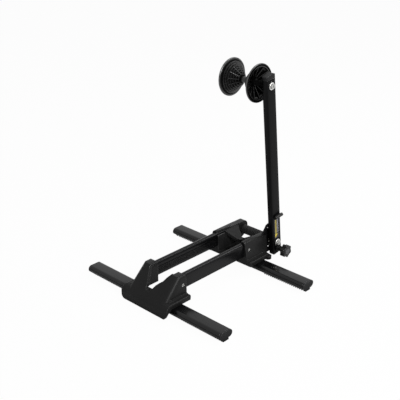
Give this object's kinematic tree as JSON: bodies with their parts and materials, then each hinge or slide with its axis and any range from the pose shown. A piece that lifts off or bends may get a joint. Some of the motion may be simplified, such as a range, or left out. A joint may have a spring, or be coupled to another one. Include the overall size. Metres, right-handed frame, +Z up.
{
  "type": "floor bike rack",
  "caption": "Floor rack that holds a bicycle by one wheel: cross feet, rails, wheel cradle and roller below, and a hinged arm carrying freely turning cone discs above.",
  "frame": {"origin": "middle of the footprint at floor level, under the feet", "axes": "+Z up, +Y from the front cradle to the rear bracket, +X across the rack towards the arm"},
  "size_m": [0.44, 0.4136, 0.519],
  "materials": {
    "foot_metal": "satin black anodised extrusion",
    "rail_metal": "satin black anodised extrusion",
    "cap_plastic": "moulded black nylon",
    "pad_rubber": "ribbed grey-black rubber",
    "moulding_plastic": "moulded black glass-filled nylon, fine spark texture",
    "screw_steel": "zinc-plated steel",
    "roller_rubber": "knurled black rubber",
    "roller_plastic": "turned black acetal",
    "bolt_steel": "zinc-plated steel",
    "washer_steel": "zinc-plated pressed steel",
    "nylon": "natural nylon",
    "plate_paint": "black powder coat on steel plate",
    "arm_metal": "black anodised extrusion",
    "peg_plastic": "moulded black nylon",
    "label_film": "printed vinyl film, yellow stripe and grey marks on black",
    "knob_plastic": "moulded black nylon",
    "insert_plastic": "grey moulded cover",
    "disc_plastic": "moulded black nylon"
  },
  "bodies": {
    "base": {"front_foot_tube": "foot_metal", "rear_foot_tube": "foot_metal", "front_foot_end_caps": "cap_plastic", "rear_foot_end_caps": "cap_plastic", "front_foot_pads": "pad_rubber", "rear_foot_pads": "pad_rubber", "left_rail": "rail_metal", "right_rail": "rail_metal", "front_cradle": "moulding_plastic", "rear_bracket": "moulding_plastic", "cradle_screws": "screw_steel", "bracket_screws": "screw_steel", "front_foot_bolts": "screw_steel", "rear_foot_bolts": "screw_steel", "pivot_bolt": "bolt_steel", "pivot_washer": "washer_steel", "pivot_nut": "bolt_steel", "pivot_spacer": "bolt_steel", "quadrant_plate": "plate_paint"},
    "arm": {"arm_tube": "arm_metal", "arm_top_cap": "cap_plastic", "arm_bottom_plug": "cap_plastic", "arm_peg": "peg_plastic", "arm_label": "label_film", "arm_bearing_washer": "nylon", "lock_nut": "bolt_steel", "disc_axle": "bolt_steel", "disc_axle_washer": "washer_steel", "disc_spacer": "roller_plastic", "disc_end_washer": "washer_steel", "disc_lock_nut": "bolt_steel"},
    "roller": {"roller_sleeve": "roller_rubber", "roller_core": "roller_plastic", "roller_bushes": "roller_plastic"},
    "knob": {"lock_knob": "knob_plastic", "lock_knob_insert": "insert_plastic", "lock_stud": "bolt_steel"},
    "inner_disc": {"inner_disc": "disc_plastic"},
    "outer_disc": {"outer_disc": "disc_plastic"}
  },
  "joints": [
    {"name": "arm_hinge", "type": "hinge", "parent": "base", "child": "arm", "pos_m": [0, 0.1858, 0.0579], "axis": [1, 0, 0], "range_deg": [-36.5, 73.5]},
    {"name": "roller_spin", "type": "hinge", "parent": "base", "child": "roller", "pos_m": [0, 0.1858, 0.0579], "axis": [1, 0, 0], "continuous": true},
    {"name": "knob_turn", "type": "hinge", "parent": "arm", "child": "knob", "pos_m": [0, 0.18767, 0.04151], "axis": [1, 0, 0], "range_deg": [0, 360]},
    {"name": "inner_disc_spin", "type": "hinge", "parent": "arm", "child": "inner_disc", "pos_m": [0, 0.13853, 0.47282], "axis": [1, 0, 0], "continuous": true},
    {"name": "outer_disc_spin", "type": "hinge", "parent": "arm", "child": "outer_disc", "pos_m": [0, 0.13853, 0.47282], "axis": [1, 0, 0], "continuous": true}
  ]
}
